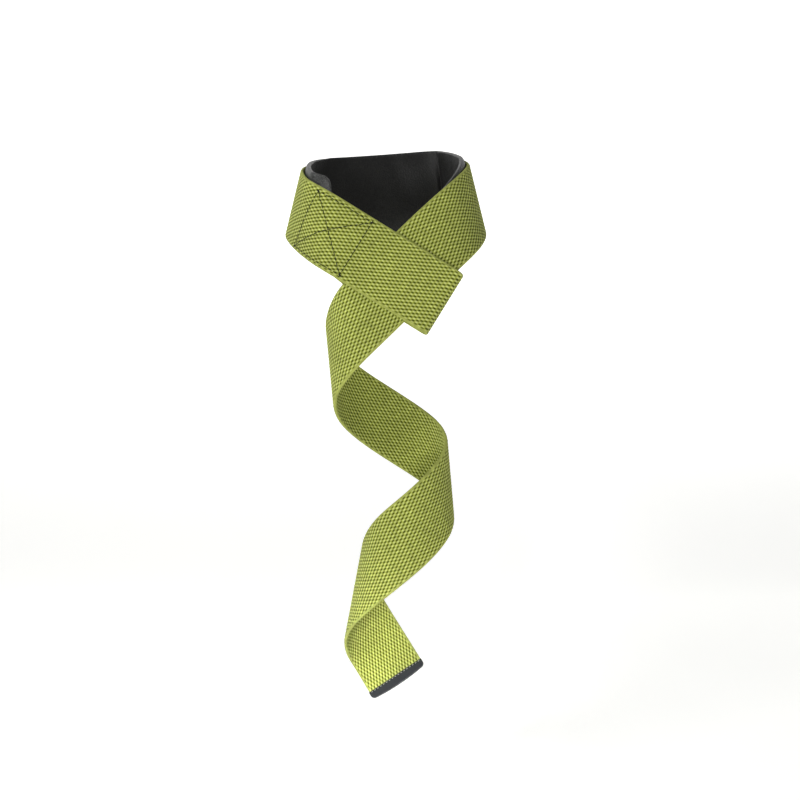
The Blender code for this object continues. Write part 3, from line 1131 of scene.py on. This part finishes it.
@dataclass
class WristPad:
    """The soft lining of the wrist loop: thick in the middle, rolled at its edges.

    The lip is where its upper edge stands above the flap, and the sag is where its lower edge
    hangs down on the back wall. The crease is the pinch at the loop's sharp back corner. Rates
    are the radians per metre of the foam's slow dents and pulls.
    """

    path: StrapPath
    thickness: float = 3.6 * MM
    rim_thickness: float = 2.3 * MM
    overhang: float = 3.5 * MM
    end_inset: float = 1.0 * MM
    narrowing: float = 70.0 * MM
    top_rounding: float = 11.0 * MM
    lip_height: float = 2.6 * MM
    lip_middle: float = 88.0 * MM
    lip_spread: float = 9.0 * MM
    lip_end: float = 99.0 * MM
    lip_fade: float = 9.0 * MM
    sag: float = 4.5 * MM
    sag_middle: float = 197.0 * MM
    sag_spread: float = 30.0 * MM
    lap: float = 13.0 * MM
    stop: float = 7.0 * MM
    ramp: float = 10.0 * MM
    end_round: float = 6.0 * MM
    end_taper: float = 2.0 * MM
    end_thickness: float = 0.6
    crease: float = 237.3 * MM
    crease_depth: float = 1.3 * MM
    crease_width: float = 1.5 * MM
    dent_depth: float = 0.22 * MM
    dent_rates: tuple[float, float] = (173.0, 61.0)
    pull_depth: float = 0.10 * MM
    pull_rate: float = 410.0
    face_share: float = 0.975
    crowding: float = 0.35
    rim_turns: tuple[float, ...] = (67.5, 22.5, -22.5, -67.5)
    rim_gap: float = 0.25 * MM
    rim_start: float = 0.93
    rim_full: float = 0.97
    crease_angle: float = 70.0
    step: float = 1.0 * MM
    columns: int = 47

    def ends(self) -> tuple[float, float]:
        """Distances along the strap between which the pad lies.

        Returns:
            Where it starts and where it stops.
        """
        sizes = self.path.sizes
        half = 0.5 * sizes.width - self.end_inset
        reach = 0.5 * sizes.width + half * math.cos(sizes.crossing_angle)
        last = self.path.loop_length - reach / math.sin(sizes.crossing_angle) - self.stop
        return sizes.folded_length - self.lap, last

    def reach(self, along: np.ndarray, upper: bool) -> np.ndarray:
        """Distance from the middle of the strap to one of the pad's long edges.

        Args:
            along: Distances along the strap.
            upper: True for the upper edge, False for the lower one.

        Returns:
            Distances across the strap.
        """
        first, last = self.ends()
        lengths = (self.top_rounding, self.narrowing) if upper else (self.narrowing, self.narrowing)
        share = smooth((along - first) / lengths[0]) * smooth((last - along) / lengths[1])
        beyond = self.overhang * share - self.end_inset * (1.0 - share)
        if upper:
            lip = self.bulge(along, self.lip_middle, self.lip_spread)
            beyond = beyond + self.lip_height * share * lip
        else:
            beyond = beyond + self.sag * self.bulge(along, self.sag_middle, self.sag_spread)
        return 0.5 * self.path.sizes.width + beyond

    @staticmethod
    def bulge(along: np.ndarray, middle: float, spread: float) -> np.ndarray:
        """Bell curve of height 1 about a distance along the strap."""
        return np.exp(-(((along - middle) / spread) ** 2))

    def lift(self, along: np.ndarray) -> np.ndarray:
        """Extra distance of the pad from the strap where it laps over the folded-back layer.

        Args:
            along: Distances along the strap.

        Returns:
            Distances to add.
        """
        sizes = self.path.sizes
        share = smooth((along - sizes.folded_length - sizes.gap) / self.ramp)
        return (sizes.thickness + sizes.gap) * (1.0 - share)

    def softness(self, along: np.ndarray, share: np.ndarray) -> np.ndarray:
        """Slow dents and pulls of the foam, with the pinch at the sharp back corner.

        Args:
            along: Distances along the strap.
            share: Places across the pad, from -1 at its lower edge to 1 at its upper one.

        Returns:
            Thickness to add.
        """
        quick, slow = self.dent_rates
        dents = np.sin(along * quick + 1.3 * share) * np.sin(2.1 * share + along * slow)
        pulls = np.sin(along * self.pull_rate + 2.6 * share + 0.7) * (0.4 + 0.6 * share ** 2)
        pinch = self.bulge(along, self.crease, self.crease_width)
        return self.dent_depth * dents + self.pull_depth * pulls - self.crease_depth * pinch

    def build(self) -> bpy.types.Object:
        """Returns:
            The finished piece.
        """
        sizes = self.path.sizes
        first, last = self.ends()
        places = np.linspace(first, last, int((last - first) / self.step) + 1)
        evenly = np.linspace(-1.0, 1.0, self.columns)
        crowded = np.sin(0.5 * math.pi * evenly)
        face = self.face_share * (self.crowding * crowded + (1.0 - self.crowding) * evenly)
        turn = np.radians(self.rim_turns)
        rim_share = self.face_share + (1.0 - self.face_share) * np.cos(turn)
        share = np.concatenate([face, rim_share, face[::-1], -rim_share])
        blend = np.concatenate([np.zeros(face.size), 0.5 - 0.5 * np.sin(turn),
                                np.ones(face.size), 0.5 + 0.5 * np.sin(turn)])
        place, share_all = np.meshgrid(places, share, indexing="ij")
        upper, lower = self.reach(place, True), self.reach(place, False)
        across = share_all * np.where(share_all > 0.0, upper, lower)
        rounding = self.end_round * (1.0 - np.sqrt(np.maximum(1.0 - share_all ** 4, 0.0)))
        fade = 3.0 * self.end_round
        along = place + rounding * np.clip(1.0 - (place - first) / fade, 0.0, 1.0)
        along = along - rounding * np.clip(1.0 - (last - place) / fade, 0.0, 1.0)
        body = self.rim_thickness + (self.thickness - self.rim_thickness) * (1.0 - share_all ** 4)
        ending = smooth(np.minimum(place - first, last - place) / self.end_taper)
        body = body * (self.end_thickness + (1.0 - self.end_thickness) * ending)
        body = body + self.softness(along, share_all) * blend
        near = 0.5 * sizes.thickness + sizes.gap + self.lift(along)
        near = near + self.rim_gap * (np.abs(share_all) > self.rim_full)
        points = self.path.point(along, across, -near - body * blend)
        # Share of the painted highlight along the pad's rolled edges.
        rim_reach = self.rim_full - self.rim_start
        rim = np.clip((np.abs(share_all) - self.rim_start) / rim_reach, 0.0, 1.0)
        on_lip = smooth((self.lip_end + self.lip_fade - along) / self.lip_fade)
        flat = np.stack([along, across], axis=-1)
        piece = ring_mesh("wrist_pad_knit", points, flat, face.size, turn.size, self.crease_angle,
                          {"rim": rim, "backing": (1.0 - blend) * on_lip})
        piece.data.materials.append(KnitFoam().material())
        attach(piece, ROOT)
        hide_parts("wrist_pad")
        return piece


@dataclass
class TailBinding:
    """The binding moulded over the cut end of the tail, with rounded corners.

    Its side outline is a hollow U: two walls over the webbing's faces, joined by a round nose.
    """

    path: StrapPath
    trim: EndTrim = field(default_factory=EndTrim)
    depth: float = 4.4 * MM
    wall: float = 0.60 * MM
    nose: float = 1.3 * MM
    nose_points: int = 9
    shoulder: float = 0.3 * MM
    play: float = 0.15 * MM
    side_play: float = 0.25 * MM
    hem_start: float = 0.15 * MM
    hem_end: float = 0.6 * MM
    hem_drop: float = 0.1 * MM
    hollow_tip: float = 0.2 * MM
    bow: float = 1.3 * MM
    flank: float = 0.7 * MM
    flank_drop: float = 0.28
    # The side edges of the binding take the lighter rim colour too.
    flank_lightening: float = 0.4
    # Part of the nose, by the cosine of its turn, that takes the painted highlight.
    highlight_band: tuple[float, float] = (0.6, 0.8)
    crease_angle: float = 50.0
    columns: int = 61

    def outline(self) -> tuple[np.ndarray, np.ndarray, np.ndarray, int]:
        """Side outline of the binding.

        Returns:
            Distances along, heights, how far each point lies on the band along the nose that takes a
            painted highlight, and the points on the outside, as many as on the inside.
        """
        end = self.path.total_length
        inner = 0.5 * self.path.sizes.thickness + self.play
        outer = inner + self.wall
        back, shoulder = end - self.depth, end + self.shoulder
        turn = np.linspace(0.5, -0.5, self.nose_points) * math.pi
        top = [(back + self.hem_start, outer - self.hem_drop), (back + self.hem_end, outer)]
        side = [(back + share * (shoulder - back), outer) for share in (0.4, 0.7)]
        nose = [(shoulder + self.nose * math.cos(a), outer * math.sin(a)) for a in turn]
        outside = top + side + nose + [(x, -z) for x, z in reversed(top + side)]
        hollow = end + self.play
        runs = np.linspace(0.0, 1.0, (len(outside) - 1) // 2)
        lower = [(back + share * (hollow - back), -inner) for share in runs]
        tip = (hollow + self.hollow_tip, 0.0)
        inside = lower + [tip] + [(x, -z) for x, z in reversed(lower)]
        points = np.array(outside + inside)
        round_share = (points[:, 0] - shoulder) / self.nose
        # Painted highlight: a thin band on each side of the nose takes the lighter rim colour.
        worn = 1.0 * (round_share > self.highlight_band[0]) * (round_share < self.highlight_band[1])
        return points[:, 0], points[:, 1], worn, len(outside)

    def build(self) -> bpy.types.Object:
        """Returns:
            The finished piece.
        """
        along, out, worn, columns = self.outline()
        half = 0.5 * self.path.sizes.width + self.side_play
        across = np.sin(np.linspace(-0.5, 0.5, self.columns) * math.pi) * half
        across_all, along_all = np.meshgrid(across, along, indexing="ij")
        end = self.path.total_length
        trimmed = along_all - self.trim.drop(along_all, across_all, end)
        reach = smooth((along_all - end + self.depth) / self.depth)
        trimmed = trimmed - self.bow * reach * (across_all / half) ** 2
        edge = np.clip((half - np.abs(across_all)) / self.flank, 0.0, 1.0)
        flatter = 1.0 - self.flank_drop * (1.0 - np.sqrt(edge))
        points = self.path.point(trimmed, across_all, out * flatter)
        # Mark for the lighter rim colour: the painted highlight band on the nose, and the side edges.
        rim_mark = np.maximum(worn + 0.0 * across_all, self.flank_lightening * (1.0 - edge))
        flat = np.stack([along_all, across_all], axis=-1)
        piece = ring_mesh("tail_binding", points, flat, columns, 0, self.crease_angle,
                          {"rim": rim_mark})
        piece.data.materials.append(BindingTape().material())
        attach(piece, ROOT)
        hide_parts("tail_end_tip")
        return piece


@dataclass(frozen=True)
class Seam:
    """One kind of seam: its thread, its height above the webbing and the size of its stitches.

    Flatness is a stitch's height as a share of its thickness. Swing is the angle in radians by
    which a stitch may stray to either side of its line.
    """

    name: str
    thread: SewingThread
    slot: Slot
    lift: float
    pitch: float
    length: float
    thickness: float
    flatness: float = 0.8
    swing: float = 0.10
    seed: int = 7


@dataclass
class StitchRow:
    """Stitches of one seam along straight lines on the flat strap.

    A row of guide points is laid on the webbing, and Geometry Nodes put one rounded stitch on
    each step along it, with its length along the line and its flat side on the surface.
    """

    name: str
    path: StrapPath
    lines: list[tuple[tuple[float, float], tuple[float, float]]]
    height: float
    seam: Seam

    def guide(self) -> bpy.types.Object:
        """Lay the lines that the stitches follow, with a point for about every millimetre.

        Returns:
            An object of edges, with the direction away from the surface kept on each point.
        """
        vertices: list[np.ndarray] = []
        lifts: list[np.ndarray] = []
        edges: list[tuple[int, int]] = []
        for start, stop in self.lines:
            share = np.linspace(0.0, 1.0, max(int(math.dist(start, stop) / MM), 2))
            along = start[0] + share * (stop[0] - start[0])
            across = start[1] + share * (stop[1] - start[1])
            low = self.path.point(along, across, self.height)
            high = self.path.point(along, across, self.height * 1.5)
            offset = sum(len(rows) for rows in vertices)
            vertices.append(low)
            lifts.append((high - low) / np.linalg.norm(high - low, axis=1)[:, None])
            edges += [(offset + index, offset + index + 1) for index in range(len(low) - 1)]
        mesh = bpy.data.meshes.new(self.name + "_guide")
        mesh.from_pydata(np.concatenate(vertices).tolist(), edges, [])
        lift = mesh.attributes.new("lift", "FLOAT_VECTOR", "POINT")
        lift.data.foreach_set("vector", np.concatenate(lifts).ravel().astype(np.float32))
        return new_object(self.name + "_guide", mesh)

    def tree(self, material: bpy.types.Material) -> bpy.types.NodeTree:
        """Node tree that turns the guide into stitches.

        Args:
            material: Finish of the thread.

        Returns:
            The tree, with its sizes as named inputs.
        """
        tree = bpy.data.node_groups.new(self.name + "_stitches", "GeometryNodeTree")
        face = tree.interface
        face.new_socket("Geometry", in_out="INPUT", socket_type="NodeSocketGeometry")
        for label in ("Pitch", "Length", "Thickness"):
            face.new_socket(label, in_out="INPUT", socket_type="NodeSocketFloat")
        face.new_socket("Seed", in_out="INPUT", socket_type="NodeSocketInt")
        face.new_socket("Geometry", in_out="OUTPUT", socket_type="NodeSocketGeometry")
        source = add_node(tree, "NodeGroupInput").outputs
        line = add_node(tree, "GeometryNodeMeshToCurve", None, {0: source["Geometry"]})
        steps = add_node(tree, "GeometryNodeResampleCurve", {"mode": "LENGTH"}, {
            "Curve": line.outputs[0], "Length": source["Pitch"]})
        ball = add_node(tree, "GeometryNodeMeshUVSphere", None, {
            "Segments": 8, "Rings": 6, "Radius": 0.5})
        flatter = add_node(tree, "ShaderNodeMath", TIMES, {
            0: source["Thickness"], 1: self.seam.flatness})
        size = add_node(tree, "ShaderNodeCombineXYZ", None, {
            0: source["Length"], 1: source["Thickness"], 2: flatter.outputs[0]})
        stitch = add_node(tree, "GeometryNodeTransform", None, {
            "Geometry": ball.outputs["Mesh"], "Scale": size.outputs[0]})
        tangent = add_node(tree, "GeometryNodeInputTangent")
        lift = add_node(tree, "GeometryNodeInputNamedAttribute", {"data_type": "FLOAT_VECTOR"},
                        {"Name": "lift"})
        facing = add_node(tree, "FunctionNodeAlignRotationToVector", {"axis": "X"},
                          {"Vector": tangent.outputs[0]})
        upright = add_node(tree, "FunctionNodeAlignRotationToVector",
                           {"axis": "Z", "pivot_axis": "X"},
                           {"Rotation": facing.outputs[0], "Vector": lift.outputs[0]})
        uneven = add_node(tree, "FunctionNodeRandomValue", {"data_type": "FLOAT"}, {
            2: -self.seam.swing, 3: self.seam.swing, "Seed": source["Seed"]})
        swing = add_node(tree, "ShaderNodeCombineXYZ", None, {2: uneven.outputs[1]})
        turned = add_node(tree, "FunctionNodeRotateRotation", {"rotation_space": "LOCAL"}, {
            0: upright.outputs[0], 1: swing.outputs[0]})
        placed = add_node(tree, "GeometryNodeInstanceOnPoints", None, {
            "Points": steps.outputs[0], "Instance": stitch.outputs[0],
            "Rotation": turned.outputs[0]})
        real = add_node(tree, "GeometryNodeRealizeInstances", None, {0: placed.outputs[0]})
        soft = add_node(tree, "GeometryNodeSetShadeSmooth", None, {"Geometry": real.outputs[0]})
        dressed = add_node(tree, "GeometryNodeSetMaterial", None, {
            "Geometry": soft.outputs[0], "Material": material})
        add_node(tree, "NodeGroupOutput", None, {0: dressed.outputs[0]})
        return tree

    def build(self, material: bpy.types.Material) -> bpy.types.Object:
        """Args:
            material: Finish of the thread.

        Returns:
            The finished piece.
        """
        guide = self.guide()
        tree = self.tree(material)
        modifier = guide.modifiers.new("stitches", "NODES")
        modifier.node_group = tree
        values = {"Pitch": self.seam.pitch, "Length": self.seam.length,
                  "Thickness": self.seam.thickness, "Seed": self.seam.seed}
        for item in tree.interface.items_tree:
            if item.in_out == "INPUT" and item.name in values:
                modifier[item.identifier] = values[item.name]
        graph = bpy.context.evaluated_depsgraph_get()
        mesh = bpy.data.meshes.new_from_object(guide.evaluated_get(graph), depsgraph=graph)
        mesh.name = self.name
        guide.modifiers.remove(modifier)
        bpy.data.objects.remove(guide, do_unlink=True)
        piece = new_object(self.name, mesh)
        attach(piece, ROOT)
        return piece


@dataclass
class Stitching:
    """All the thread on the strap: the box and cross on both sides, and the binding's rows."""

    path: StrapPath
    plan: StitchPlan = field(default_factory=StitchPlan)
    box: Seam = Seam("box_stitches", SewingThread("dark_olive_thread", "#1b1e0c"), Slot.PAD,
                     0.14 * MM, 2.9 * MM, 2.75 * MM, 0.50 * MM)
    tip: Seam = Seam("tip_stitches", SewingThread("pale_grey_thread", "#96988c"), Slot.TIP,
                     0.80 * MM, 2.1 * MM, 1.1 * MM, 0.45 * MM)
    tip_inset: float = 3.7 * MM
    tip_margin: float = 1.8 * MM

    def build(self) -> list[bpy.types.Object]:
        """Make every row of stitches, each seam on the front and on the back.

        Returns:
            The finished pieces.
        """
        half, bend = 0.5 * self.path.sizes.thickness, self.path.bend
        front = self.plan.lines()
        behind = [((-a[0] - bend, a[1]), (-b[0] - bend, b[1])) for a, b in front]
        end = self.path.total_length - self.tip_inset
        across = 0.5 * self.path.sizes.width - self.tip_margin
        row = [((end, -across), (end, across))]
        box_height, tip_height = half + self.box.lift, half + self.tip.lift
        sides = (
            (self.box, ("front", front, box_height), ("back", behind, box_height)),
            (self.tip, ("front", row, tip_height), ("back", row, -tip_height)),
        )
        pieces = []
        for seam, *rows in sides:
            thread = seam.thread.material()
            for side, lines, height in rows:
                name = f"{seam.name}_{side}"
                pieces.append(StitchRow(name, self.path, lines, height, seam).build(thread))
        return pieces


@dataclass(frozen=True)
class Lamp:
    """One soft square light: where it stands, the point it faces, its side, watts and spread."""

    name: str
    place: tuple[float, float, float]
    aim: tuple[float, float, float]
    size: float
    power: float
    spread: float = math.pi

    def build(self) -> None:
        """Hang the light and turn it to its aim."""
        lamp = bpy.data.lights.new(self.name, "AREA")
        lamp.size = self.size
        lamp.energy = self.power
        lamp.spread = self.spread
        item = new_object(self.name, lamp)
        item.location = self.place
        way = Vector(self.aim) - Vector(self.place)
        item.rotation_euler = way.to_track_quat("-Z", "Y").to_euler()


STRAP_MIDDLE = (0.0, 0.0, -0.10)
LAMPS = (
    Lamp("key_light", (-0.551, -0.551, 0.350), STRAP_MIDDLE, 0.30, 3.6),
    Lamp("low_light", (-0.04, -0.47, -0.27), STRAP_MIDDLE, 0.10, 0.85),
    Lamp("tail_light", (-0.14, -0.50, -0.22), (-0.004, -0.020, -0.275), 0.06, 0.055,
         math.radians(20.0)),
)


@dataclass(frozen=True)
class Studio:
    """Pale sweep, soft lights and the camera."""

    floor_height: float = -0.335
    half_width: float = 3.0
    front: float = -2.5
    back: float = 1.1
    corner: float = 0.5
    wall_height: float = 2.6
    camera_place: tuple[float, float, float] = (0.00845, -0.44253, -0.12229)
    focal_pixels: float = 747.0
    picture_width: float = 800.0
    horizon_drop: float = 45.0
    paper: str = "#f4f4f2"
    glow_low: float = 0.40
    glow_high: float = 0.85
    glow_top: float = 0.2
    surround: float = 0.22

    def sweep(self) -> bpy.types.Object:
        """Floor that curves up into a wall behind the strap.

        Returns:
            The sweep.
        """
        turn = np.linspace(0.0, 0.5 * math.pi, 25)
        bend_y = self.back - self.corner + self.corner * np.sin(turn)
        bend_z = self.floor_height + self.corner - self.corner * np.cos(turn)
        line_y = [self.front, *bend_y, self.back]
        line_z = [self.floor_height, *bend_z, self.wall_height]
        sides = (-self.half_width, self.half_width)
        vertices = [(x, y, z) for y, z in zip(line_y, line_z) for x in sides]
        faces = [(2 * i, 2 * i + 1, 2 * i + 3, 2 * i + 2) for i in range(len(line_y) - 1)]
        mesh = bpy.data.meshes.new("studio_sweep")
        mesh.from_pydata(vertices, [], faces)
        mesh.polygons.foreach_set("use_smooth", np.ones(len(faces), dtype=bool))
        mesh.materials.append(self.paper_material())
        sweep = new_object("studio_sweep", mesh)
        return sweep

    def paper_material(self) -> bpy.types.Material:
        """Matt white paper whose glow grows with height, as a wall lit from above.

        Returns:
            The finished material.
        """
        material, shader = new_surface("white_paper_sweep", {
            "Base Color": linear(self.paper), "Roughness": 0.95, "Specular IOR Level": 0.0,
            "Emission Color": (1.0, 1.0, 0.99, 1.0)})
        tree = material.node_tree
        place = add_node(tree, "ShaderNodeTexCoord")
        parts = add_node(tree, "ShaderNodeSeparateXYZ", None, {0: place.outputs["Object"]})
        glow = add_node(tree, "ShaderNodeMapRange", None, {
            "Value": parts.outputs[2], "From Min": self.floor_height, "From Max": self.glow_top,
            "To Min": self.glow_low, "To Max": self.glow_high})
        tree.links.new(glow.outputs[0], shader.inputs["Emission Strength"])
        return material

    def camera(self) -> bpy.types.Object:
        """Level camera at the photograph's own distance, with its horizon below the middle.

        Returns:
            The camera, in the scene.
        """
        lens = bpy.data.cameras.new("photo_view")
        lens.sensor_width = 36.0
        lens.lens = self.focal_pixels * lens.sensor_width / self.picture_width
        lens.shift_y = self.horizon_drop / self.picture_width
        lens.clip_start = 0.01
        lens.clip_end = 20.0
        view = new_object("photo_view", lens)
        view.location = self.camera_place
        view.rotation_euler = (0.5 * math.pi, 0.0, 0.0)
        return view

    def build(self) -> None:
        """Make the sweep, the lights, the surrounding light and the camera."""
        self.sweep()
        for lamp in LAMPS:
            lamp.build()
        world = bpy.data.worlds.new("studio_light")
        world.use_nodes = True
        surround = world.node_tree.nodes["Background"]
        surround.inputs["Color"].default_value = (1.0, 1.0, 1.0, 1.0)
        surround.inputs["Strength"].default_value = self.surround
        scene = bpy.context.scene
        scene.world = world
        scene.view_settings.view_transform = "Standard"
        scene.view_settings.look = "None"
        scene.camera = self.camera()


def main() -> None:
    """Build the strap's pieces in order, then the studio, and note the sizes."""
    logging.basicConfig(level=logging.INFO, format="%(name)s: %(message)s")
    path = StrapPath()
    LOG.info("strap path: %.1f mm of webbing past the fold", path.total_length / MM)
    pieces = Webbing(path).build()
    pieces.append(WristPad(path).build())
    pieces.append(TailBinding(path).build())
    pieces.extend(Stitching(path).build())
    for piece in pieces:
        LOG.info("%s: %d faces", piece.name, len(piece.data.polygons))
    Studio().build()


if __name__ == "__main__":
    main()
